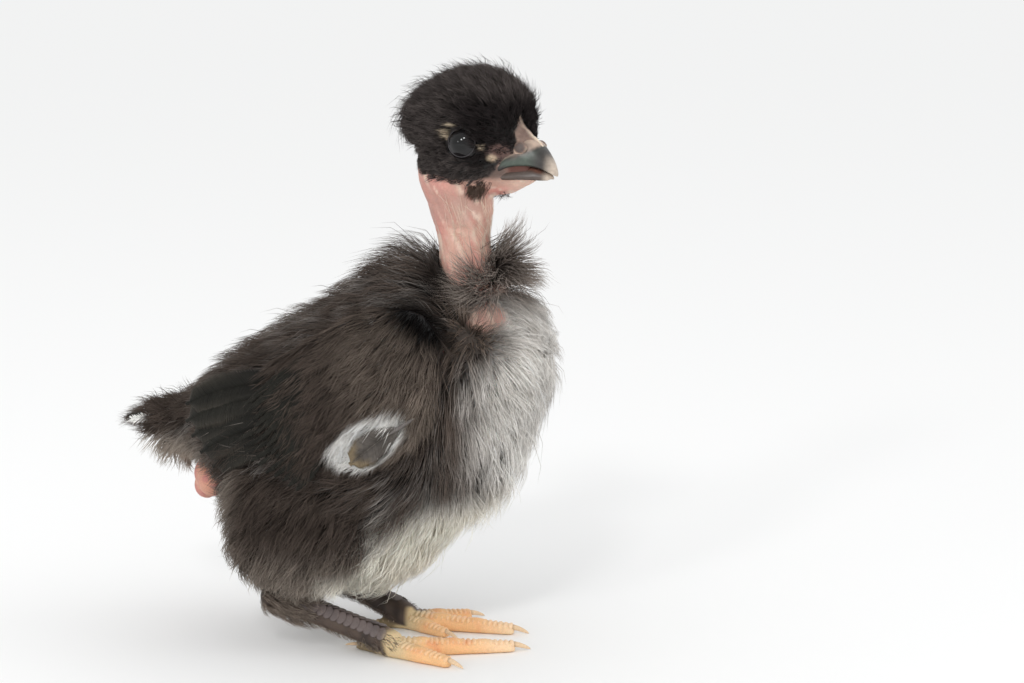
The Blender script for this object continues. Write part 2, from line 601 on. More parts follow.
def tube_grid(path, radii, sides=12):
    """A round tube along a path of points."""
    path = np.array(path, float)
    ways = unit(np.gradient(path, axis=0))
    across = unit(np.cross(ways, (0.13, 0.31, 0.94)))
    up = np.cross(across, ways)
    return np.array([ellipse_ring(p, u * r, a * r, sides) for p, u, a, r in zip(path, up, across, radii)])


def comb_grid(low_width, high_width):
    """The ridge of the comb over the forehead's foot, wider below, its crest in small points."""
    crest = smooth_rows(COMB_CREST, 41)
    slope = crest[-1] - crest[0]
    lean = np.array((-slope[1], 0, slope[0])) / np.linalg.norm(slope)
    made = []
    for i, (x, z) in enumerate(crest):
        share = i / 40
        rise = 0.25 + 0.3 * abs(math.sin(math.pi * 5 * share)) * math.sin(math.pi * min(share + 0.1, 1))
        ring = []
        for a in np.linspace(0, 2 * math.pi, 14, endpoint=False):
            up = math.cos(a)
            width = low_width + (high_width - low_width) * (up + 1) / 2
            lift = rise * up if up > 0 else 2.6 * up
            ring.append(np.array((x, width / 2 * math.sin(a), z)) + lean * lift)
        made.append(ring)
    return from_head(np.array(made))


# Meshes

def world(points):
    """Drawing points in the frame's metres."""
    return (np.asarray(points, float) + SHIFT) * MM


def closed_mesh(grids, rings=False):
    """Vertices and faces of grids that go round, closed by a point at each end unless they are rings."""
    verts, faces, start = [], [], 0
    for grid in grids:
        count, sides = grid.shape[:2]
        i, j = np.meshgrid(np.arange(count if rings else count - 1), np.arange(sides), indexing="ij")
        after, k = (i + 1) % count, (j + 1) % sides
        quads = np.stack([i * sides + j, i * sides + k, after * sides + k, after * sides + j], -1)
        verts.append(grid.reshape(-1, 3))
        faces += (quads.reshape(-1, 4) + start).tolist()
        if not rings:
            end, last = start + count * sides, start + (count - 1) * sides
            verts.append(np.array([grid[0].mean(axis=0), grid[-1].mean(axis=0)]))
            faces += [(start + (j + 1) % sides, start + j, end) for j in range(sides)]
            faces += [(last + j, last + (j + 1) % sides, end + 1) for j in range(sides)]
            start += 2
        start += count * sides
    return np.vstack(verts), faces


def mesh_of(name, verts, faces):
    """A mesh with its faces turned outwards."""
    mesh = bpy.data.meshes.new(name)
    mesh.from_pydata(verts.tolist(), [], faces)
    shaper = bmesh.new()
    shaper.from_mesh(mesh)
    bmesh.ops.recalc_face_normals(shaper, faces=shaper.faces)
    shaper.to_mesh(mesh)
    shaper.free()
    return mesh


def paint(mesh, colours):
    """Stores a colour for each vertex of a mesh as its markings."""
    layer = mesh.color_attributes.new("markings", "FLOAT_COLOR", "POINT")
    full = np.ones((len(mesh.vertices), 4), np.float32)
    full[:, :3] = np.clip(colours, 0.0, 0.99)
    layer.data.foreach_set("color", full.ravel())


def link(name, data):
    """A new object in the scene."""
    thing = bpy.data.objects.new(name, data)
    bpy.context.scene.collection.objects.link(thing)
    return thing


def add_piece(name, mesh, material, slot, replaced=()):
    mesh.materials.append(material)
    mesh.shade_smooth()
    piece = link(name, mesh)
    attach(piece, "root")
    if replaced:
        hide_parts(*replaced)


def grid_piece(name, grids, colour_of, material, slot, replaced=(), rings=False):
    """A closed piece from grids, painted by a function of its points in mm."""
    verts, faces = closed_mesh(grids, rings)
    mesh = mesh_of(name, world(verts), faces)
    paint(mesh, colour_of(verts))
    add_piece(name, mesh, material, slot, replaced)


# Materials, all painted by the markings of the mesh

def preset(node, values):
    """Sets inputs of a node by their names."""
    for key, value in values.items():
        node.inputs[key].default_value = value


def finish(name):
    """A material whose colour is the markings, varied by a grain."""
    roughness, grain, uneven, bump, height, spec, flesh = LOOKS[name]
    made = bpy.data.materials.new(name)
    made.use_nodes = True
    nodes, links = made.node_tree.nodes, made.node_tree.links
    shader = nodes["Principled BSDF"]
    kinds = ("VertexColor", "TexCoord", "TexNoise", "MapRange", "VectorMath")
    markings, place, lumps, level, tint = (nodes.new("ShaderNode" + kind) for kind in kinds)
    markings.layer_name = "markings"
    tint.operation = "SCALE"
    preset(lumps, {"Scale": grain, "Detail": 4.0})
    preset(level, {"From Min": 0.3, "From Max": 0.7, "To Min": 1 - uneven, "To Max": 1 + uneven})
    preset(shader, {"Roughness": roughness, "Specular IOR Level": spec, "Subsurface Weight": flesh,
                    "Subsurface Scale": 0.002, "Subsurface Radius": (1.0, 0.35, 0.2)})
    links.new(place.outputs["Object"], lumps.inputs["Vector"])
    links.new(lumps.outputs["Fac"], level.inputs["Value"])
    links.new(markings.outputs["Color"], tint.inputs[0])
    links.new(level.outputs["Result"], tint.inputs["Scale"])
    links.new(tint.outputs["Vector"], shader.inputs["Base Color"])
    if bump:
        relief = nodes.new("ShaderNodeBump")
        preset(relief, {"Strength": bump, "Distance": height})
        links.new(lumps.outputs["Fac"], relief.inputs["Height"])
        links.new(relief.outputs["Normal"], shader.inputs["Normal"])
    return made


# Markings: colours of the coat and the skin by place

def flat(name, points):
    """One colour for all of the points."""
    return np.broadcast_to(INK[name], points.shape)


def layered(colours, *layers):
    """Colours with others laid over them in turn, each named or given, with its share."""
    for ink, share in layers:
        colours = mix(colours, INK[ink] if isinstance(ink, str) else ink, share)
    return colours


def dyed(pair, name, tips, roots=None):
    """Root and tip colours with those of a coat laid over them."""
    root, tip = COATS[name]
    return mix(pair[0], root, tips if roots is None else roots), mix(pair[1], tip, tips)


def spot_share(points, centre, size, edge=0.35):
    """1 inside an ellipsoid on both sides of the body, 0 outside, with an edge of that share of its size."""
    reach = np.linalg.norm((mirrored(points) - centre) / size, axis=-1)
    return soft(reach, 1 + edge, 1 - edge)


def patch_share(points):
    """The white patch of the wing, a slanting ellipse on its shell."""
    (middle_x, middle_z), (way_x, way_z), (length, width) = WING_PATCH
    x, y, z = split(points)
    x, z = x - middle_x, z - middle_z
    reach = np.hypot((x * way_x + z * way_z) / length, (z * way_x - x * way_z) / width)
    return soft(reach + 0.10 * noise(points, 2.5, 3), 1.08, 0.90) * (np.abs(y) > 22)


def hollow_share(points):
    """The dark hollow between the shoulder and the wing, slanting down to the breast."""
    x, y, z = split(mirrored(points) - (18.5, 22.0, 78.5))
    reach = np.sqrt(((0.8 * x - 0.6 * z) / 10.0) ** 2 + ((0.6 * x + 0.8 * z) / 3.8) ** 2 + (y / 9.0) ** 2)
    return np.maximum(soft(reach, 1.3, 0.5), 0.75 * spot_share(points, *SHOULDER_DARK, 0.5))


def breast_share(points):
    """How much of the breast's and belly's pale colour a place has."""
    x, y, z = split(mirrored(points))
    breast = soft(x, 25.0, 35.0) * soft(z, 86.0, 72.0) * soft(z, 34.0, 40.0)
    breast = breast * (1 - 0.35 * soft(y, 13.0, 22.0))
    belly = soft(z, 42.0, 29.0) * soft(x, -10.0, 8.0) * soft(y, 22.0, 14.0)
    under = soft(z, 30.0, 20.0) * soft(x, -24.0, -10.0) * np.maximum(soft(y, 13.0, 9.0), soft(x, -9.0, -4.0))
    blurred = np.maximum.reduce([breast, belly, under]) + 0.16 * noise(points, 3.0, 5)
    return np.clip(blurred + 0.12 * noise(points, 1.2, 15), 0, 1)


def coat_colours(points, part):
    """Root and tip colours of the down at these points."""
    x, _, z = split(mirrored(points))
    root, tip = COATS["back"]
    tip = mix(tip, tip * 0.72, 0.5 + 0.5 * noise(points, 7.0, 1))
    pair = np.broadcast_to(root, tip.shape), tip
    if part == "wing":
        pair = dyed(pair, "wing", np.maximum(spot_share(points, *WING_LIGHT, 0.7),
                                             0.6 * spot_share(points, *WING_LIGHT_ABOVE, 0.6)))
    if part == "torso":
        front = soft(x, 19.0, 33.0) * soft(z, 96.0, 84.0)
        pale = breast_share(points)
        root, tip = dyed(dyed(pair, "grey", front * 0.8, front), "pale", pale, np.minimum(1, pale * 1.4))
        dusk = soft(noise(points, 1.0, 21), -0.4, 0.4) * soft(z, 36.0, 62.0) * soft(pale, 0.0, 0.4)
        pair = dyed((root, mix(tip, INK["dusk"], dusk * 0.65)), "cream", soft(z, 42.0, 30.0) * pale)
        pair = dyed(pair, "whorl", spot_share(points, BREAST_WHORL, (8.0, 7.5, 7.5), 0.6))
        pair = dyed(pair, "fluff", soft(x, -33.0, -42.0) * soft(z, 51.0, 44.0))
    if part == "thigh":
        fringe = np.maximum(soft(z, 30.0, 13.0), 0.8 * soft(x, -22.0, -31.0))
        pair = dyed(pair, "fluff", fringe * 0.8, fringe * 0.6)
        pair = dyed(pair, "cream", soft(z, 21.0, 15.0) * soft(x, -9.0, -3.0))
    pair = dyed(pair, "black", hollow_share(points))
    return dyed(pair, "white", patch_share(points)) if part == "wing" else pair


def face_spots(points):
    """The cream spots round the eye, for points in the head's frame."""
    return np.maximum.reduce([spot_share(points, *spot, 0.4) for spot in FACE_SPOTS])


def head_colours(points):
    """Root and tip colours of the cap's down."""
    place = to_head(points)
    x, _, z = split(place)
    root, tip = COATS["cap"]
    tip = mix(tip, tip * 0.7, 0.5 + 0.5 * noise(points, 3.0, 2))
    tip = mix(tip, INK["face"], soft(x, -4.0, 3.0) * soft(z, 12.5, 8.0) * soft(z, -7.0, -4.0) * 0.9)
    return dyed((np.broadcast_to(root, tip.shape), tip), "spot", face_spots(place))


def skin_colours(points):
    """The skin's colours: bare pink neck, dark under the down, slate shanks and orange toes."""
    x, y, z = split(points)
    place = to_head(points)
    ahead, aside, up = split(place)
    on_head, on_face = soft(z, 103.0, 107.0), soft(z, 104.0, 107.0)
    streak = noise(np.stack([x * 0.9 + z * 0.42, y, z * 0.16], -1), 0.9, 4)
    chin = soft(ahead, 5.0, 10.0) * on_face
    speck = soft(noise(points, 0.8, 23), 0.66, 0.8) * chin
    corner = np.maximum(spot_share(place, *MOUTH_CORNER, 0.5), spot_share(place, *CHEEK_DARK, 0.5)) * on_face
    mouth = soft(ahead, 7.5, 9.5) * soft(up, -3.6, -4.4) * soft(up, -7.4, -6.6)
    cere = layered(flat("cere", points),
                   ("cere_dark", soft(up, -1.4, 0.4) * (0.8 + 0.2 * noise(points, 0.7, 25))),
                   ("ridge", soft(np.abs(aside), 0.8, 0.3) * (0.25 + 0.75 * soft(up, 3.5, 0.5))))
    cap = layered(np.broadcast_to(COATS["cap"][0], points.shape), ("lore", spot_share(place, *LORE, 0.4)),
                  (COATS["spot"][0], face_spots(place)))
    vent = mix(flat("vent", points), INK["pink_red"] * 0.8, soft(noise(points, 1.6, 27), -0.3, 0.5))
    return layered(
        flat("pink", points),
        ("pink_red", soft(noise(points, 8.0, 6), 0.1, 0.8) * 0.8),
        ("pink_dull", soft(noise(points, 10.0, 9), 0.0, 0.8) * 0.7),
        ("pink_pale", soft(streak, 0.15, 0.7) * 0.85),
        (INK["pink_red"] * 0.86, soft(streak, -0.3, -0.8) * 0.6),
        ("pink_pale", chin * 0.5),
        ("nostril", speck * 0.7),
        ("jaw", spot_share(place, *JAW, 0.5) * on_face * 0.8),
        ("corner", corner * 0.9),
        ("gape", mouth * on_head),
        (cere, soft(ahead, 7.8, 9.0) * soft(up, -2.6, -1.4) * on_head),
        ("nostril", spot_share(place, *NOSTRIL_FLAP, 0.3) * on_head),
        (cap, cap_share(place) * on_head),
        (coat_colours(points, "torso")[0] * 0.9, torso_share(points)),
        (COATS["pale"][0], patch_share(points)),
        (vent, spot_share(points, VENT_CENTRE, VENT_PINK, 0.15)),
        (leg_colours(points), soft(z, 15.5, 13.5)))


def torso_share(points):
    """1 on the body under its down, 0 on the bare neck and the bare patch below the tuft on each side."""
    x, _, z = split(points)
    hem = np.interp(x, [10.0, 17.0, 22.0, 27.0, 33.0, 40.0], [93.0, 90.0, 85.0, 82.5, 83.5, 84.0])
    return soft(z - hem, 1.0, -1.0) * (z < 96) * (1 - spot_share(points, *BARE_PATCH, 0.25))


def leg_colours(points):
    """Slate down the shank, cream at the foot, orange along the toes and paler at their ends."""
    mottle = noise(points, 2.0, 8)
    z = points[:, 2]
    reach, ahead, edge = [], [], []
    for name, side in SIDES.items():
        _, foot, _, _, front = leg_axes(name)
        x, y, _ = split(points - foot)
        near = np.abs(y) < 7
        reach.append(np.linalg.norm(points[:, :2] - foot[:2], axis=1))
        ahead.append(x - 3.4 * soft(np.where(near, side * y, 0), -2.0, 1.5))
        edge.append(np.where(near, (points - foot) @ front, 0))
    reach, ahead = np.min(reach, axis=0), np.max(ahead, axis=0)
    toe = layered(flat("foot", points), ("toe", soft(reach, 3.0, 9.0)),
                  ("toe_red", soft(mottle, 0.0, 0.7) * soft(reach, 4.0, 9.0) * 0.7),
                  ("toe_pale", soft(reach, 16.0, 28.0) * 0.7))
    under = soft(z, 1.4, 0.7) * soft(ahead, -3.0, -1.5)
    return layered(flat("shank", points), ("shank_dark", soft(mottle, -0.3, 0.7) * 0.8),
                   ("sole", soft(np.min(edge, axis=0), -2.0, -2.7) * soft(ahead, 2.0, -1.0) * 0.7),
                   (toe, soft(z, 7.0, 5.4) * np.maximum(soft(ahead, 0.0, 1.6), under)))


# The skin

def eye_frames():
    """For each side, the eye's centre and the way it looks, in the head's frame."""
    x, y, z = EYE_CENTRE
    for name, side in SIDES.items():
        way = np.array((math.sin(EYE_FORWARD_TURN), side * math.cos(EYE_FORWARD_TURN), 0.06))
        yield name, np.array((x, y * side, z)), unit(way)


def ring_grid(centre, way, out, radius, thick, flatness=1.0, sides=10, steps=48):
    """A ring round the way from a centre in the head's frame, as a tube's grid with its ends meeting."""
    first = unit(np.cross(way, (0.0, 0.0, 1.0)))
    second = np.cross(way, first)
    made = []
    for a in np.linspace(0, 2 * math.pi, steps, endpoint=False):
        spoke = first * math.cos(a) + second * math.sin(a)
        middle = centre + way * out + spoke * radius
        made.append(ellipse_ring(middle, spoke * thick, way * thick * flatness, sides))
    return from_head(np.array(made))


def tail_grid():
    return np.array([ellipse_ring((x, 0, z), (0, 0, high), (0, wide, 0), 28)
                     for x, z, high, wide in smooth_rows(TAIL_STATIONS, 20)])


def skin_grids(forms):
    """The closed forms that the skin is joined from."""
    grids = list(forms.values())
    for name, side in SIDES.items():
        grids.append(shank_grid(name))
        grids += [toe_grid(name, toe) for toe in TOES[name]]
        (x, y, z), size = NOSTRIL_SWELLING
        grids.append(ball_grid(from_head((x, y * side, z)), size))
    grids += [ball_grid(centre, (size, size, size * 1.1)) for centre, size in VENT_LOBES]
    return grids + [tail_grid(), comb_grid(*COMB_WIDTHS)]


def join_skin(forms):
    """One closed mesh over the forms and the folds round the eyes, by a fine remesh, then smoothed."""
    verts, faces = closed_mesh(skin_grids(forms))
    folds = [ring_grid(centre, way, *EYE_FOLD) for _, centre, way in eye_frames()]
    more, more_faces = closed_mesh(folds, True)
    faces += [tuple(v + len(verts) for v in face) for face in more_faces]
    skin = link("skin", mesh_of("skin", world(np.vstack([verts, more])), faces))
    remesh = skin.modifiers.new("remesh", "REMESH")
    remesh.mode = "VOXEL"
    remesh.voxel_size = VOXEL * MM
    smooth = skin.modifiers.new("smooth", "SMOOTH")
    smooth.factor = 0.5
    smooth.iterations = 4
    bpy.context.view_layer.update()
    made = bpy.data.meshes.new_from_object(skin.evaluated_get(bpy.context.evaluated_depsgraph_get()))
    bpy.data.objects.remove(skin)
    made.name = "skin"
    return made


def read_vectors(owner, key):
    """A vector of each vertex of a mesh, as rows."""
    found = np.zeros(len(owner) * 3, np.float32)
    owner.foreach_get(key, found)
    return found.reshape(-1, 3)


def fold_depth(points):
    """Heights of the neck's lengthwise folds and of its fine wrinkles, mm."""
    x, y, z = split(points)
    folds = noise(np.stack([x + 0.42 * z, y * 1.2, z * 0.18], -1), 1.5, 31)
    wrinkles = noise(np.stack([x * 0.5, y * 0.5, z * 1.6], -1), 1.2, 32)
    return soft(z, 76.0, 84.0) * soft(z, 110.0, 104.0) * (0.30 * folds + 0.10 * wrinkles)


def build_skin(forms):
    """The skin with its folds and markings, in place of the solids of the flesh."""
    made = join_skin(forms)
    points = read_vectors(made.vertices, "co") / MM - SHIFT
    points += read_vectors(made.vertices, "normal") * fold_depth(points)[:, None]
    made.vertices.foreach_set("co", world(points).astype(np.float32).ravel())
    paint(made, skin_colours(points))
    nodes = ["torso", "neck", "head", "comb", "vent", "tail"]
    for name in SIDES:
        nodes += ["wing_" + name, "thigh_" + name, "shank_" + name]
        nodes += [f"toe_{toe}_{name}" for toe in TOES[name]]
    add_piece("skin", made, finish("flesh"), "skin_pink", nodes)


# Strands: each is a thin closed blade along a few points

def sample_grid(grid, density_of, rng):
    """Roots spread over a grid by a density a square mm: points, normals and places along and round it."""
    corners = np.concatenate([grid, grid[:, :1]], axis=1)
    normals = grid_normals(grid)
    normals = np.concatenate([normals, normals[:, :1]], axis=1)
    a, b, c, d = corners[:-1, :-1], corners[:-1, 1:], corners[1:, 1:], corners[1:, :-1]
    wanted = np.linalg.norm(np.cross(c - a, d - b), axis=-1) / 2 * density_of((a + b + c + d) / 4)
    count = int(wanted.sum())
    picks = rng.choice(wanted.size, count, p=(wanted / wanted.sum()).ravel())
    i, j = np.unravel_index(picks, wanted.shape)
    s, t = rng.random((2, count))
    weights = [((1 - s) * (1 - t), 0, 0), ((1 - s) * t, 0, 1), (s * t, 1, 1), (s * (1 - t), 1, 0)]
    points, outs = (sum(w[:, None] * rows[i + di, j + dj] for w, di, dj in weights)
                    for rows in (corners, normals))
    return points, unit(outs), np.stack([(i + s) / wanted.shape[0], (j + t) / wanted.shape[1]], -1)


def scattered(tree, spots):
    """A field of roots on a form, nearest to the given spots."""
    found = [tree.find_nearest(spot) for spot in spots]
    roots, outs = (np.array([f[k][:] for f in found]) for k in (0, 1))
    low, high = roots.min(axis=0), roots.max(axis=0)
    return roots, outs, ((roots - low) / (high - low))[:, [1, 2]]


def clear_of(field, trees, keep=None):
    """The roots of a field that are to be kept and lie in none of the given forms."""
    keep = np.ones(len(field[0]), bool) if keep is None else keep
    for tree in trees:
        for k in np.flatnonzero(keep):
            spot, normal, _, _ = tree.find_nearest(field[0][k])
            keep[k] = (Vector(field[0][k]) - spot).dot(normal) > -0.2
    return tuple(values[keep] for values in field)


def tree_of(grid):
    """A search tree over a closed grid, in mm."""
    mesh = mesh_of("tree", *closed_mesh([grid]))
    tree = BVHTree.FromPolygons([v.co for v in mesh.vertices], [tuple(f.vertices) for f in mesh.polygons])
    bpy.data.meshes.remove(mesh)
    return tree


def lay_strands(field, lies, length, rise, rng, shares=LONG, settle=None, clump=14, pull=0.4,
                stray=(0.24, 0.20), wild=0.02, stand=1.35, wave=0.10, sink=0.4):
    """Strands as points (count, points, 3), and each one's clump.

    They leave the skin, bend over along their lie and are drawn together a little at their tips. A few stand
    wilder than the rest.
    """
    roots, outs, _ = field
    count = len(roots)
    centres = rng.choice(count, max(1, count // clump), replace=False)
    tree = KDTree(len(centres))
    for k, c in enumerate(centres):
        tree.insert(roots[c], k)
    tree.balance()
    owner = np.array([tree.find(root)[1] for root in roots])
    lies = unit(lies - outs * np.sum(lies * outs, axis=1, keepdims=True))
    turn = rng.normal(0, stray[0], len(centres))[owner] + rng.normal(0, stray[1], count)
    lies = lies * np.cos(turn)[:, None] + np.cross(outs, lies) * np.sin(turn)[:, None]
    free = rng.random(count) < wild
    length = length * rng.uniform(0.82, 1.18, len(centres))[owner] * rng.uniform(0.8, 1.15, count)
    rise = rise * rng.uniform(0.75, 1.25, len(centres))[owner] * rng.uniform(0.75, 1.25, count)
    rise = rise * np.where(free, stand, 1.0)
    strands = roots[:, None] + lies[:, None] * (length[:, None] * shares ** 1.2)[..., None]
    heights = (rise + sink)[:, None] * (1 - (1 - shares) ** 1.8) - sink
    strands = settle(strands, heights) if settle else strands + outs[:, None] * heights[..., None]
    heads = strands[centres][owner]
    drawn = pull * (shares ** 1.5)[None, :, None] * np.where(free, 0.3, 1.0)[:, None, None]
    strands += (heads - strands) * drawn
    strands[:, 1:] += rng.normal(0, wave, strands[:, 1:].shape)
    strands[..., 2] = np.maximum(strands[..., 2], 0.15)
    return strands, owner


def over_form(tree, outs=None, loose=None):
    """A function that sets strands at given heights over a form, those with a loose share less strictly."""
    def settle(strands, heights):
        made = []
        for point, height in zip(strands.reshape(-1, 3), heights.ravel()):
            spot, normal, _, _ = tree.find_nearest(point)
            made.append((spot + normal * height)[:])
        made = np.array(made).reshape(strands.shape)
        if loose is None:
            return made
        return made + (strands + outs[:, None] * heights[..., None] - made) * loose[:, None, None]
    return settle


def over_wing(side):
    """A function that sets the points of strands at given heights over the wing's shell."""
    def settle(strands, heights):
        made = np.array(strands)
        shell = wing_out(strands[..., 0], strands[..., 2])
        made[..., 1] = side * (shell + side * strands[:, :1, 1] - shell[:, :1] + heights)
        return made
    return settle


def strand_mesh(name, strands, outs, widths, colours, places, thin):
    """A mesh of three-sided tapering blades. Widths and colours go with the points of each."""
    count, points = strands.shape[:2]
    rings, corners = points - 1, 3 * (points - 1) + 1
    ways = unit(np.gradient(strands, axis=1))
    across = unit(np.cross(ways, outs[:, None]))
    up = np.cross(across, ways)
    turns = np.array([0, 2 * math.pi / 3, 4 * math.pi / 3])
    hoop = np.stack([np.cos(turns), np.sin(turns)], -1)
    sides = hoop[:, :1] * up[:, :rings, None] * thin + hoop[:, 1:] * across[:, :rings, None]
    hoops = strands[:, :rings, None] + widths[:, :rings, None, None] / 2 * sides
    verts = np.concatenate([hoops.reshape(count, 3 * rings, 3), strands[:, rings:]], axis=1)
    last = 3 * (rings - 1)
    faces = [(2, 1, 0)]
    for ring in range(0, last, 3):
        for j in range(3):
            k = (j + 1) % 3
            faces += [(ring + j, ring + k, ring + 3 + k), (ring + j, ring + 3 + k, ring + 3 + j)]
    faces += [(last + j, last + (j + 1) % 3, corners - 1) for j in range(3)]
    tris = (np.array(faces)[None] + (np.arange(count) * corners)[:, None, None]).reshape(-1, 3)
    mesh = bpy.data.meshes.new(name)
    mesh.vertices.add(count * corners)
    mesh.vertices.foreach_set("co", world(verts).astype(np.float32).ravel())
    mesh.loops.add(tris.size)
    mesh.loops.foreach_set("vertex_index", tris.ravel().astype(np.int32))
    mesh.polygons.add(len(tris))
    mesh.polygons.foreach_set("loop_start", np.arange(0, tris.size, 3, dtype=np.int32))
    mesh.update(calc_edges=True)
    tint = np.concatenate([np.repeat(colours[:, :rings], 3, axis=1), colours[:, rings:]], axis=1)
    paint(mesh, tint.reshape(-1, 3))
    spread = np.vstack([hoop * (1 - k / rings) for k in range(rings)] + [(0, 0)]) * PATCH / 2
    uvs = (places[:, None] + spread[None]).reshape(-1, 2)
    layer = mesh.uv_layers.new(name="OFBake")
    layer.uv.foreach_set("vector", uvs[tris.ravel()].astype(np.float32).ravel())
    return mesh


def chart(name, places):
    """Places along and round a form, laid into the piece's box of the bake's square."""
    low_u, low_v, high_u, high_v = CHART[name]
    return np.array((low_u, low_v)) + np.array((high_u - low_u, high_v - low_v)) * places


def grow(name, field, lies, length, rise, thick, colours_of, look, rng, shares=LONG, spread=0.26, fade=1.0,
         **habit):
    """Grows strands on a field of roots, colours them by their place and makes pieces within the limit."""
    strands, owner = lay_strands(field, lies, length, rise, rng, shares, **habit)
    count = len(strands)
    tint = rng.uniform(1 - spread, 1 + spread, owner.max() + 1)[owner] * rng.uniform(0.8, 1.2, count)
    root, tip = colours_of(strands)
    colours = mix(root, tip, shares[None] ** fade)
    evened = 1 - 0.8 * colours.mean(axis=-1, keepdims=True)
    colours = colours * (1 + (tint[:, None, None] - 1) * evened)
    widths = thick * np.array(TAPER[len(shares)]) * rng.uniform(0.8, 1.2, (count, 1))
    rows = (strands, field[1], widths, colours, chart(name, field[2]))
    total = math.ceil(count * (6 * (len(shares) - 2) + 4) / COAT_LIMIT)
    for k in range(total):
        label = f"{name}_{k + 1}" if total > 1 else name
        cut = slice(k * count // total, (k + 1) * count // total)
        add_piece(label, strand_mesh(label, *(row[cut] for row in rows), 0.7), *look)


# The lie, depth and length of the down, and the coats that grow by them

def torso_lie(points):
    """Backwards over the back, away from the neck's foot on the shoulders, out of a whorl on the breast."""
    even = mirrored(points)
    x, y, z = even.T
    neck_away = unit(unit(even - (25.0, 0.0, 78.0)) + (-0.55, 0.0, 0.15))
    near_neck = soft(np.linalg.norm(even - (22.0, 0.0, 84.0), axis=1), 20.0, 9.0) * soft(x, 27.0, 22.0)
    breast = unit(unit(even - BREAST_WHORL) * 0.9 + (0.12, 0.05, -0.62))
    lie = mix((-0.84, 0.0, -0.40), neck_away, near_neck)
    lie = mix(lie, breast, soft(x, 12.0, 24.0) * soft(z, 84.0, 78.0))
    lie = mix(lie, (-0.15, 0.0, -1.0), soft(z, 40.0, 28.0) * soft(x, -30.0, -14.0))
    lie = mix(lie, (-0.4, 0.0, -0.85), soft(x, -30.0, -38.0) * soft(z, 56.0, 44.0))
    lie[:, 1] *= np.where(points[:, 1] < 0, -1.0, 1.0) * soft(y, 0.0, 6.0)
    return lie


def torso_size(points):
    """Length and rise of the torso's down, mm: short at the whorl, loose on the breast, hump and rump."""
    even = mirrored(points)
    x, _, z = even.T
    station_x = [(row[0] + row[2]) / 2 for row in TORSO_STATIONS]
    depth = np.interp(x, station_x, [row[5] for row in TORSO_STATIONS])
    length = np.interp(x, [-50.0, -20.0, 5.0, 20.0, 40.0], [8.5, 9.5, 10.5, 12.0, 12.5])
    length = length * (0.5 + 0.5 * soft(np.linalg.norm(even - BREAST_WHORL, axis=1), 2.0, 13.0))
    hump = spot_share(points, (15.0, 0.0, 92.0), (12.0, 14.0, 9.0), 0.5)
    rump = soft(x, -32.0, -42.0) * soft(z, 52.0, 46.0)
    short = np.maximum(spot_share(points, (29.5, 9.0, 80.0), (10.0, 8.5, 8.0), 0.6),
                       spot_share(points, VENT_CENTRE + np.array((2.0, 7.0, 3.0)), (9.5, 11.0, 8.5), 0.4))
    lean = np.maximum.reduce([0.25 * soft(x, 24.0, 38.0), 0.3 * soft(x, 6.0, 18.0) * soft(z, 46.0, 36.0),
                              0.5 * soft(x, -26.0, -38.0) * soft(z, 49.0, 54.0)])
    ruffle = 1 + 0.3 * soft(x, 15.0, 30.0) * noise(points, 2.2, 41)
    back = 0.12 * soft(z, 58.0, 66.0) * soft(x, 18.0, 10.0)
    rise = depth * (0.85 + 0.35 * hump + 0.1 * rump - lean - back) * ruffle
    return (length - 1.0 * rump) * (1 - 0.7 * short), rise * (1 - 0.5 * short)


def torso_colours(strands):
    return coat_colours(strands, "torso")


def one_coat(name):
    """A function that gives strands the same root and tip colours anywhere."""
    return lambda strands: tuple(np.broadcast_to(colour, strands.shape) for colour in COATS[name])


def coat_torso(form, tree, others, look, rng):
    def density(middle):
        vent = np.linalg.norm((mirrored(middle) - VENT_CENTRE) / VENT_BARE, axis=-1) < 1
        return np.where(vent, 0, DENSITY["torso"] * torso_share(middle))
    field = clear_of(sample_grid(form, density, rng), others)
    length, rise = torso_size(field[0])
    loose = soft(field[0][:, 0], -34.0, -42.0) * soft(field[0][:, 2], 54.0, 49.0)
    grow("down_torso", field, torso_lie(field[0]), length, rise, THICK["torso"], torso_colours, look, rng,
         settle=over_form(tree, field[1], loose), pull=0.45)


def coat_crop(form, tree, look, rng):
    """The down that stands forward from the neck's foot, round the bare patches below the tuft."""
    def density(middle):
        return DENSITY["crop"] * torso_share(middle) * (middle[..., 2] > 73)
    field = sample_grid(form, density, rng)
    front = soft(field[0][:, 0], 26.0, 33.0)
    lies = mix(torso_lie(field[0]), (0.3, 0.0, -0.9), front * 0.6)
    grow("down_crop", field, lies, 6.5 + 1.0 * front, 2.6 + 2.4 * front, THICK["crop"], torso_colours, look,
         rng, settle=over_form(tree))


def coat_tail(look, rng):
    """The fuzz over the tail's stub."""
    field = sample_grid(tail_grid(), lambda middle: DENSITY["tail"] * (middle[..., 0] < -41.0), rng)
    grow("down_tail", field, (-1.0, 0.0, -0.1), 6.5, 2.0, THICK["tail"], lambda p: coat_colours(p, "tail"),
         look, rng, stray=(0.45, 0.4), wild=0.1, stand=1.8)


def coat_wing(name, side, form, look, rng):
    def density(middle):
        x, y, z = split(middle)
        return DENSITY["wing"] * (side * y > wing_out(x, z) - 1.2) * (1 - 0.85 * soft(x, -6.0, -16.0))
    field = sample_grid(form, density, rng)
    lies = mix((-0.66, 0.0, -0.75), (-0.05, 0.0, -1.0), soft(field[0][:, 0], 12.0, 22.0) * 0.7)
    white = patch_share(field[0])
    rise = WING_DOWN_DEPTH * (1.05 - 0.45 * white)
    grow("down_wing_" + name, field, lies, 8.0 - 2.0 * white, rise, THICK["wing"],
         lambda p: coat_colours(p, "wing"), look, rng, settle=over_wing(side), clump=12)


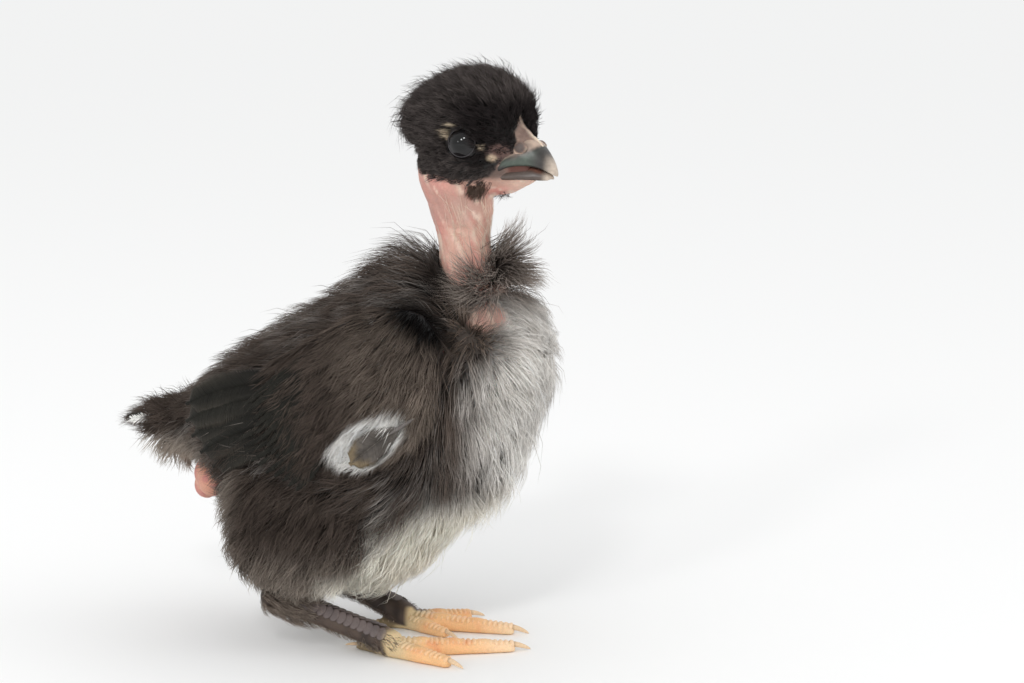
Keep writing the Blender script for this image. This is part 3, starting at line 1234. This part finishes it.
def coat_thigh(name, form, tree, others, look, rng):
    field = sample_grid(form, lambda middle: DENSITY["thigh"], rng)
    field = clear_of(field, others, field[0][:, 2] > 12.5)
    x, _, z = field[0].T
    low, under = soft(z, 26.0, 16.0), soft(x, -22.0, -27.0) * soft(z, 29.0, 33.0)
    grow("down_thigh_" + name, field, mix((-0.52, 0.0, -0.85), (-0.02, 0.0, -1.0), low),
         9.5 - 3.5 * low - 3.0 * under, THIGH_DEPTH * (0.9 - 0.4 * low - 0.4 * under), THICK["thigh"],
         lambda p: coat_colours(p, "thigh"), look, rng, settle=over_form(tree))


def cap_density(middle):
    """Strands to a square millimetre of the head's cap, none over the eyes."""
    place = to_head(middle)
    found = DENSITY["cap"] * cap_share(place) * soft(place[..., 0], 13.2, 11.5) * (middle[..., 2] > 105.0)
    found = found * (1 - 0.6 * spot_share(place, *LORE, 0.4))
    for _, centre, way in eye_frames():
        away = place - centre
        reach = np.linalg.norm(away - (away @ way)[..., None] * way, axis=-1)
        found = found * np.where((reach < 3.35) & (away @ way > 0), 0, 1)
    return found


def coat_head(forms, trees, look, rng):
    """The dark cap: short velvety down that lies away from the beak's root, longer over the nape."""
    for part in ("head", "neck"):
        field = sample_grid(forms[part], cap_density, rng)
        if part == "neck":
            field = clear_of(field, [trees["head"]])
        place = to_head(field[0])
        x, _, z = place.T
        back, crown, cheek = soft(x, -9.0, -15.0), soft(z, 0.0, 8.0), soft(z, 0.0, -3.0)
        nape, face = back * soft(z, -1.2, 0.6), soft(x, 3.0, 9.0) * soft(z, 7.0, 3.0)
        lies = (unit(place - (13.5, 0.0, -3.0)) + np.array((-0.25, 0.0, -0.05))) @ HEAD_AXES.T
        lies = mix(unit(lies), (-0.93, 0.0, -0.32), nape * 0.8)
        length = 2.9 + 1.9 * nape - 1.3 * face - 0.9 * cheek - 0.5 * cheek * back + 0.2 * crown
        rise = HEAD_DOWN_DEPTH * (0.75 + 0.25 * crown + 0.4 * nape - 0.35 * face - 0.4 * cheek * (1 + back))
        grow("down_cap_" + part, field, lies, length, rise, THICK["cap"], head_colours, look, rng,
             shares=SHORT, settle=over_form(trees[part]), clump=10, pull=0.35, wave=0.05, wild=0.08,
             stand=1.75, sink=0.25, spread=0.4)


def coat_throat(tree, look, rng):
    """The two small tufts below the cheeks and the wisp of hairs under the chin."""
    for name, side in SIDES.items():
        spots = from_head(np.array((2.2, 5.9 * side, -9.3)) + rng.normal(0, 1, (260, 3)) * (1.4, 0.8, 0.9))
        grow("down_throat_" + name, scattered(tree, spots), HEAD_AXES @ (-0.45, 0.0, -1.0), 4.0, 0.9,
             THICK["throat"], one_coat("throat"), look, rng, shares=SHORT, clump=8, wave=0.05)
    spots = from_head(np.array((6.4, -2.6, -11.8)) + rng.normal(0, 0.35, (9, 3)))
    grow("hairs_chin", scattered(tree, spots), HEAD_AXES @ (0.55, -0.2, -1.0), 2.6, 1.2, THICK["chin"],
         one_coat("bristle"), look, rng, pull=0.3)


def round_neck(middle, turn, height):
    """Points beside the neck at these turns and heights."""
    return np.stack([middle + 9.0 * np.cos(turn), 9.0 * np.sin(turn), height], -1)


def coat_tuft(tree, look, rng):
    """The tuft at the front of the neck's foot: a slanting band of roots on each side of the middle.

    In front the hairs stand out in a fan; to the sides they grow longer and lie flatter along the neck.
    """
    count = TUFT["count"]
    share = rng.random(count) ** 1.25
    side = np.where(rng.random(count) < 0.5, -1.0, 1.0)
    turn = side * share * TUFT["turn"] + rng.normal(0, 0.14, count)
    off = rng.normal(0, 1, count)
    spots = round_neck(24.0, turn, TUFT["top"] - TUFT["drop"] * share + TUFT["spread"] * off)
    field = scattered(tree, spots)
    across = unit(np.cross((0, 0, 1.0), field[1]))
    aside = side * (0.1 + 1.7 * share) + rng.normal(0, 0.7, count)
    lift = (0.95 - 0.45 * share) * off - 0.4 + 0.5 * share
    lies = across * aside[:, None] + np.cross(field[1], across) * lift[:, None]
    low = soft(lift / (1 + np.abs(aside)), 0.1, -0.7)
    grow("down_tuft", field, lies, 6.6 + 3.2 * share - 2.0 * low * share, 8.6 - 7.0 * share, THICK["tuft"],
         one_coat("tuft"), look, rng, fade=1.6, clump=12, pull=0.35, stray=(0.3, 0.25), wave=0.12)


def coat_neck(tree, look, rng):
    """The few pale hairs that lie along the bare neck."""
    turn = rng.uniform(-2.0, 2.0, NECK_HAIRS)
    field = scattered(tree, round_neck(22.0, turn, rng.uniform(88.0, 106.0, NECK_HAIRS)))
    grow("hairs_neck", field, (0.5, 0.0, -1.0), 7.5, 0.3, THICK["neck"], one_coat("hair"), look, rng,
         settle=over_form(tree), clump=5, sink=0.1)


def coat_shank(name, side, grey, dark, rng):
    """The down that thins out along the back of the shank, and the bristles round its foot's outer side."""
    hock, foot, along, across, front = leg_axes(name)
    grid = shank_grid(name)
    tree = tree_of(grid)

    def share_of(points):
        return (points - hock) @ along / np.linalg.norm(foot - hock)

    def density(middle):
        behind = soft((middle - hock) @ front, 0.0, -2.4)
        share = share_of(middle)
        return DENSITY["shank"] * np.maximum(soft(share, 0.42, 0.12), 0.35 * behind * soft(share, 0.98, 0.8))
    field = sample_grid(grid, density, rng)
    high = soft(share_of(field[0]), 0.5, 0.1)
    grow("down_shank_" + name, field, along, 2.2 + 3.2 * high, 0.6 + 0.9 * high, THICK["shank"],
         one_coat("hock"), grey, rng, settle=over_form(tree))
    outer = across * side * math.copysign(1.0, across[1])
    share = rng.uniform(0.84, 1.05, BRISTLES)
    lean = rng.uniform(-1.3, 1.0, BRISTLES)[:, None]
    spots = hock + (foot - hock) * share[:, None] + (outer * np.cos(lean) + front * np.sin(lean)) * 4.0
    grow("bristles_" + name, scattered(tree, spots), along + (0, 0, -0.35), 1.5, 0.6, THICK["bristles"],
         one_coat("stubble"), dark, rng, shares=SHORT, clump=5, pull=0.2, stray=(0.15, 0.2), wave=0.03)


# Feathers: a shaft and two vanes of barbs, each a flat blade

def feather(place_of, length, width, shape, rng, spacing=0.42, ragged=0.1, slant=0.85):
    """Barbs and shaft of a feather. place_of gives a point for a share along, mm across and mm outwards."""
    shares, wide = np.array(FEATHER_SHAPES[shape]).T
    strands, widths, kinds = [], [], []
    count = int(length / spacing)
    for side in (-1, 1):
        for i in range(count):
            start = 0.04 + 0.93 * (i + rng.uniform(-0.2, 0.2)) / count
            reach = width / 2 * np.interp(min(start + 0.08, 1.0), shares, wide) * (1 - ragged * rng.random())
            if reach < 0.25:
                continue
            sweep = slant * reach / length * (1.25 - 0.35 * start)
            strands.append([place_of(min(start + sweep * s ** 0.9 * (1 - 0.25 * s), 1.03), side * reach * s,
                                     0.12 - 0.3 * s * s) for s in LONG])
            widths.append((spacing * 1.2, spacing * 1.5, spacing * 1.35, 0.0))
            kinds.append((start, 0.0))
    for low, high, thick in ((-0.06, 0.5, 0.34), (0.42, 0.99, 0.22)):
        strands.append([place_of(low + (high - low) * s, 0.0, 0.16 - 0.1 * low) for s in LONG])
        widths.append((thick, thick * 0.9, thick * 0.7, 0.0))
        kinds.append((low, 1.0))
    return np.array(strands), np.array(widths), np.array(kinds)


def wing_place(side, root, tip, bow, out):
    """The place function and length of a feather on the wing's shell, lifting from root to tip."""
    root, tip = np.array(root), np.array(tip)
    length = np.linalg.norm(tip - root)
    along = (tip - root) / length
    across = np.array((-along[1], along[0])) * (-1 if along[0] < 0 else 1)

    def place(share, aside, lift):
        held = min(max(share, 0), 1)
        x, z = root + (tip - root) * share + across * (bow * math.sin(math.pi * held) + aside)
        return (x, side * (wing_out(x, z) + out[0] + (out[1] - out[0]) * held + lift + 0.05 * aside), z)
    return place, float(length)


def fan_feathers(side, tier, rng):
    """The place function and length of each feather of a tier."""
    roots, tips, outs = (np.array(tier[key]) for key in ("roots", "tips", "out"))
    for i in range(tier["count"]):
        share = i / (tier["count"] - 1)
        root = roots[0] + (roots[1] - roots[0]) * share + rng.uniform(-0.4, 0.4, 2)
        tip = tips[0] + (tips[1] - tips[0]) * share
        tip = tip + (tip - root) * 0.07 * math.sin(math.pi * share) + rng.uniform(-0.5, 0.5, 2)
        out = outs[0] + (outs[1] - outs[0]) * share + 0.12 * (i % 2)
        yield wing_place(side, root, tip, tier["bow"], out)


def plume_piece(name, feathers, colour_of, out, material):
    """One piece from feathers that face out, painted along each of them."""
    strands, widths, kinds = (np.concatenate([f[k] for f in feathers]) for k in range(3))
    places = np.clip(strands[:, 1, [0, 2]] / 100 + (0.5, 0.0), 0, 1)
    outs = np.tile(unit(np.array(out)), (len(strands), 1))
    mesh = strand_mesh(name, strands, outs, widths, colour_of(strands, kinds), chart(name, places), 0.32)
    add_piece(name, mesh, material, "vane_dark")


def build_wing_feathers(name, side, material, rng):
    feathers = []
    for tier in WING_TIERS:
        for place, length in fan_feathers(side, tier, rng):
            tint = rng.uniform(0.8, 1.2)
            made = feather(place, length, tier["width"], tier["shape"], rng, tier["spacing"], tier["ragged"])
            extra = np.tile((tint, tier["rim"]), (len(made[2]), 1))
            feathers.append((*made[:2], np.column_stack([made[2], extra])))

    def colours(strands, kinds):
        start = kinds[:, :1]
        vane = flat("vane", strands) * kinds[:, 2][:, None, None]
        vane = vane * (1 + 0.25 * noise(strands[:, :1], 0.6, 31))[..., None]
        vane = layered(vane, ("vane_rim", (LONG ** 4)[None] * kinds[:, 3:] * soft(start, 0.2, 0.6)),
                       ("vane_dark", np.clip(0.6 - start, 0, 0.6)))
        vane[kinds[:, 1] > 0.5] = INK["shaft"]
        return vane
    plume_piece("feathers_wing_" + name, feathers, colours, (0.1, side * 1.0, 0.15), material)


def build_alula(name, side, material, rng):
    """The leaf of the thumb's feather in its white patch, with the sheath that it grew from."""
    place, length = wing_place(side, **ALULA)
    made = feather(place, length, ALULA_WIDTH, "leaf", rng, 0.3, 0.03, 0.7)

    def colours(strands, kinds):
        leaf = mix(flat("alula", strands), INK["vane_dark"], 0.45 * (1 - LONG)[None])
        leaf = leaf * (1 + 0.3 * noise(strands[:, :1], 0.8, 33))[..., None]
        leaf = mix(leaf, INK["alula_rim"], soft(kinds[:, :1] + 0.35 * LONG[None], 0.82, 0.98))
        leaf[kinds[:, 1] > 0.5] = INK["alula_shaft"]
        return leaf
    plume_piece("alula_" + name, [made], colours, (0.1, side * 1.0, 0.15), material)
    path = [place(s, 0.0, 0.1) for s in np.linspace(-0.04, 0.3, 10)]
    radii = np.interp(np.linspace(0, 1, 10), [0, 0.2, 0.8, 1], [0.2, 0.42, 0.4, 0.15])
    grid_piece("sheath_" + name, [tube_grid(path, radii)], lambda p: flat("sheath", p), material,
               "vane_dark")


def build_tail(material, rng):
    """The short tail: loose soft feathers, the middle ones uppermost, one of them with a white end."""
    feathers = []
    for i in range(TAIL_FEATHERS):
        reach = 2 * i / (TAIL_FEATHERS - 1) - 1
        root = np.array((-46.0, 4.0 * reach, 51.6 - 0.9 * abs(reach)))
        droop = 0.7 * abs(reach) - rng.uniform(-0.8, 0.8)
        tip = np.array((-60.5 + 3.2 * reach ** 2, 7.0 * reach, 51.0 - droop))
        roll = -0.6 * reach + rng.uniform(-0.3, 0.3)
        across = np.array((0, math.cos(roll), math.sin(roll)))
        up = np.array((0, -math.sin(roll), math.cos(roll)))

        def place(share, aside, lift, root=root, tip=tip, across=across, up=up):
            return root + (tip - root) * share + across * aside + up * (lift + 0.8 * math.sin(3 * share))
        made = feather(place, float(np.linalg.norm(tip - root)), 5.0, "brush", rng, 0.26, 0.6, 1.5)
        white = np.full(len(made[2]), float(i == TAIL_WHITE))
        feathers.append((made[0], made[1] * 0.7, np.column_stack([made[2], white])))

    def colours(strands, kinds):
        white = kinds[:, 2:] * soft(kinds[:, :1] + 0.3 * LONG[None], 0.64, 0.84)
        return layered(flat("vane_dark", strands), (COATS["back"][1], 0.6 * LONG[None]),
                       (COATS["pale"][1], white))
    plume_piece("feathers_tail", feathers, colours, (0.0, 0.0, 1.0), material)


# Beak, eyes and feet

def beak_grid(stations, tip, rings=30):
    """One half of the beak: its profile from ridge to edge and its flat floor, along the stations."""
    profile = smooth_rows(BEAK_PROFILE, 12)
    made = []
    for x, ridge, edge, wide in smooth_rows(stations, rings):
        half = [(x, wide * y, edge + (ridge - edge) * z) for y, z in profile]
        half += [(x, wide * 0.95 * s, edge + 0.18 * (ridge - edge) * (1 - s)) for s in (0.7, 0.35, 0.0)]
        made.append(half + [(x, -y, z) for x, y, z in half[-2:0:-1]])
    grid = np.array(made)
    end = np.array((tip[0], 0, tip[1]))
    return from_head(np.concatenate([grid, [end + (grid[-1] - end) * s for s in (0.75, 0.45, 0.18)]]))


def horn_grain(points, seed):
    return (1 + 0.12 * noise(points * (1, 1, 2.5), 0.9, seed))[:, None]


def upper_colours(points):
    """Dark horn with a green gleam along the lip, a pale tip and the cream cere above."""
    place = to_head(points)
    x, _, z = split(place)
    above = z - np.interp(x, *np.array(CERE_LINE).T)
    made = layered(flat("horn", points),
                   ("horn_green", soft(above, -0.2, -1.0) * soft(z, -5.4, -4.6) * soft(x, 16.4, 13.0) * 0.8),
                   (INK["cere"] * 0.9, soft(above, -0.5, 0.4) * soft(x, 16.4, 15.2)),
                   ("nostril", spot_share(place, *NOSTRIL_SHADE, 0.4) * 0.6),
                   ("horn_tip", soft(x, 16.4, 18.6) * 0.85))
    return made * horn_grain(points, 11)


def lower_colours(points):
    """Dark horn with a reddish lip along the mouth and a pale tip."""
    x, _, z = split(to_head(points))
    lip = np.interp(x, *np.array(BEAK_LOWER_STATIONS).T[:2])
    made = layered(flat("horn_low", points), ("lip", soft(z - lip, -1.0, -0.5) * soft(x, 17.0, 15.0) * 0.75),
                   ("corner", soft(x, 9.4, 7.0) * 0.8), ("horn_tip", soft(x, 15.8, 17.6) * 0.9))
    return made * horn_grain(points, 12)


def build_beak():
    horn = finish("horn")
    upper = beak_grid(BEAK_UPPER_STATIONS, BEAK_UPPER_TIP)
    lower = beak_grid(BEAK_LOWER_STATIONS, BEAK_LOWER_TIP)
    for name, grid, colours in (("beak_upper", upper, upper_colours), ("beak_lower", lower, lower_colours)):
        grid_piece(name + "_horn", [grid], colours, horn, "horn_dark", [name])


def build_eyes():
    """Each eye with its clear bulge, dark iris and pupil, and the thin rim of its lids."""
    wet, lid_skin = finish("eye"), finish("lid_skin")
    for name, centre, way in eye_frames():
        middle = from_head(centre)
        look = from_head(centre + way) - middle
        first = unit(np.cross(look, (0, 0, 1.0)))
        second = np.cross(look, first)
        rings = []
        for a in np.linspace(0.02, math.pi - 0.02, 40):
            bulge = 1 + 0.03 * math.exp(-(a / 0.7) ** 2)
            ring = ellipse_ring((0, 0, 0), first * math.sin(a), second * math.sin(a), 48)
            rings.append(middle + (ring + look * math.cos(a)) * EYE_RADIUS * bulge)

        def eye_colours(points, middle=middle, look=look):
            angle = np.arccos(np.clip(unit(points - middle) @ look, -1, 1))
            return layered(flat("pupil", points), ("iris", soft(angle, 0.36, 0.46)),
                           ("eye_edge", soft(angle, 0.72, 0.86)))

        def lid_colours(points, middle=middle, look=look):
            rim = soft(np.linalg.norm(np.cross(points - middle, look), axis=1), 3.3, 3.1)
            grain = 1 + 0.15 * noise(points, 0.8, 13)
            return mix(flat("lid", points), INK["lid_rim"], rim) * grain[:, None]
        grid_piece("eyeball_" + name, [np.array(rings)], eye_colours, wet, "eye_dark", ["eye_" + name])
        grid_piece("lids_" + name, [ring_grid(centre, way, *LID_RIM)], lid_colours, lid_skin, "down_dark",
                   rings=True)


def build_claws(side_name, material):
    for toe_name in TOES[side_name]:
        root, way, _, length, radius = toe_line(side_name, toe_name)
        thick = radius * TOE_TAPER
        shares = np.linspace(0, 1, 14)
        path = [root + way * (length - 1.6 + (CLAW_LENGTH + 0.6) * s) + (0, 0, thick * (1.2 - 0.9 * s * s))
                for s in shares]
        grid = tube_grid(path, thick * 0.45 * np.sqrt(np.maximum(1 - shares ** 1.6, 0.002)), 14)
        grid[..., 2] = np.maximum(grid[..., 2], 0.05)

        def colours(points, root=root, length=length):
            reach = np.linalg.norm(points[:, :2] - root[:2], axis=1)
            return mix(flat("claw", points), INK["claw_root"], soft(reach, length + 0.6, length - 1.0))
        grid_piece(f"nail_{toe_name}_{side_name}", [grid], colours, material, "claw_horn",
                   [f"claw_{toe_name}_{side_name}"])


def plate(centre, along, across, out, size):
    """A scute: a low oval dome, as a grid of rings."""
    return dome_grid(centre, along * size[0], across * size[1], out * size[2], 7, 12, 0.6)


def build_scutes(side_name, side, material):
    """Two rows of plates down the shank's front, and the plates across the toes."""
    hock, foot, along, across, front = leg_axes(side_name)
    outer = side * math.copysign(1.0, across[1])
    shank, toes = [], []
    rows = smooth_rows(SHANK_STATIONS, 101)
    for row, lean in enumerate((-0.15 * outer, 0.95 * outer)):
        for i in range(SCUTES):
            share = 0.2 + 0.74 * (i + 0.5 * row) / SCUTES
            _, depth, width = rows[int(np.argmin(np.abs(rows[:, 0] - share)))]
            out = unit(front * math.cos(lean) + across * math.sin(lean))
            spot = hock + (foot - hock) * share
            spot = spot + front * depth * math.cos(lean) + across * width * math.sin(lean)
            down, rise = unit(along + 0.13 * out), unit(out - 0.13 * along)
            shank.append(plate(spot - out * 0.06, down, np.cross(rise, down), rise, (1.15, 1.6, 0.16)))
    for toe_name in TOES[side_name]:
        root, way, across_toe, length, radius = toe_line(side_name, toe_name)
        count = round(length / 1.25)
        for i in range(1, count):
            share = (i + 0.3) / count
            thick = radius * (1 - (1 - TOE_TAPER) * share)
            spot = root + way * length * share + np.array((0, 0, 2 * thick - SOLE_SINK - 0.8))
            toes.append(plate(spot, way, across_toe, np.array((0, 0, 1.0)), (0.66, thick * 0.9, 0.78)))
    for name, plates, ink, share, slot in (("shank", shank, "scute", 0.5, "shank_slate"),
                                           ("toes", toes, "toe_pale", 0.25, "toe_orange")):
        grid_piece(f"scutes_{name}_{side_name}", plates, lambda p: mix(leg_colours(p), INK[ink], share),
                   material, slot)


# Stage, light and camera

def way_from(azimuth, elevation):
    """The way to something seen at these degrees round from the chick's right side and above the floor."""
    a, e = math.radians(azimuth), math.radians(elevation)
    return np.array((math.sin(a) * math.cos(e), -math.cos(a) * math.cos(e), math.sin(e)))


def place_at(thing, target, azimuth, elevation, distance):
    """Sets a lamp or camera that far off its target, facing it."""
    way = way_from(azimuth, elevation)
    thing.location = world(np.array(target) + way * distance)
    thing.rotation_euler = Vector(-way).to_track_quat("-Z", "Y").to_euler()


def build_stage():
    """A wide pale floor under an even sky, one broad soft light and the lamps that gleam in the eye."""
    floor = bpy.data.meshes.new("floor")
    corners = [(-1, -1), (1, -1), (1, 1), (-1, 1)]
    floor.from_pydata([(x * FLOOR_REACH, y * FLOOR_REACH, 0) for x, y in corners], [], [(0, 1, 2, 3)])
    paper = bpy.data.materials.new("paper")
    paper.use_nodes = True
    preset(paper.node_tree.nodes["Principled BSDF"],
           {"Base Color": (0.94, 0.94, 0.935, 1), "Roughness": 1.0, "Specular IOR Level": 0.0})
    floor.materials.append(paper)
    link("floor", floor)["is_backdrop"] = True
    sky = bpy.data.worlds.new("sky")
    sky.use_nodes = True
    preset(sky.node_tree.nodes["Background"], {"Color": (0.99, 0.995, 1.0, 1), "Strength": SKY_STRENGTH})
    bpy.context.scene.world = sky
    sun = bpy.data.lights.new("sun", "SUN")
    sun.energy = SUN_STRENGTH
    sun.angle = SUN_ANGLE
    place_at(link("sun", sun), HEAD_CENTRE, *SUN_WAY, 1000.0)
    for i, (azimuth, elevation, power) in enumerate(GLINTS):
        lamp = bpy.data.lights.new(f"glint_{i}", "AREA")
        lamp.energy = power
        lamp.size = GLINT_SIZE * MM
        place_at(link(lamp.name, lamp), HEAD_CENTRE, azimuth, elevation, GLINT_DISTANCE)


def build_camera():
    data = bpy.data.cameras.new("camera")
    data.lens = CAMERA_LENS
    data.sensor_width = 36.0
    camera = link("camera", data)
    place_at(camera, CAMERA_TARGET, CAMERA_AZIMUTH, CAMERA_ELEVATION, CAMERA_DISTANCE)
    bpy.context.scene.camera = camera
    bpy.context.scene.view_settings.view_transform = "Standard"


def main():
    rng = np.random.default_rng(SEED)
    build_camera()
    build_stage()
    forms = {"torso": torso_grid(), "neck": neck_grid(), "head": head_grid()}
    for name, side in SIDES.items():
        forms["wing_" + name] = wing_grid(side)
        forms["thigh_" + name] = thigh_grid(side)
    build_skin(forms)
    trees = {name: tree_of(grid) for name, grid in forms.items()}
    down, vane, scale = (finish(name) for name in ("down", "vane", "scale"))
    grey, dark = (down, "down_grey"), (down, "down_dark")
    limbs = [trees[name] for name in forms if name.startswith(("wing", "thigh", "neck"))]
    coat_torso(forms["torso"], trees["torso"], limbs, grey, rng)
    for name, side in SIDES.items():
        coat_wing(name, side, forms["wing_" + name], grey, rng)
        beside = [trees["torso"], trees["wing_" + name]]
        coat_thigh(name, forms["thigh_" + name], trees["thigh_" + name], beside, grey, rng)
        coat_shank(name, side, grey, dark, rng)
        build_wing_feathers(name, side, vane, rng)
        build_alula(name, side, vane, rng)
        build_scutes(name, side, scale)
        build_claws(name, scale)
    coat_head(forms, trees, dark, rng)
    coat_throat(trees["head"], dark, rng)
    coat_neck(trees["neck"], grey, rng)
    coat_crop(forms["neck"], trees["neck"], grey, rng)
    coat_tuft(trees["neck"], grey, rng)
    coat_tail(grey, rng)
    build_tail(vane, rng)
    build_beak()
    build_eyes()


main()
str([[list(corner) for corner in box] for box in (CAD_BOX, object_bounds())])
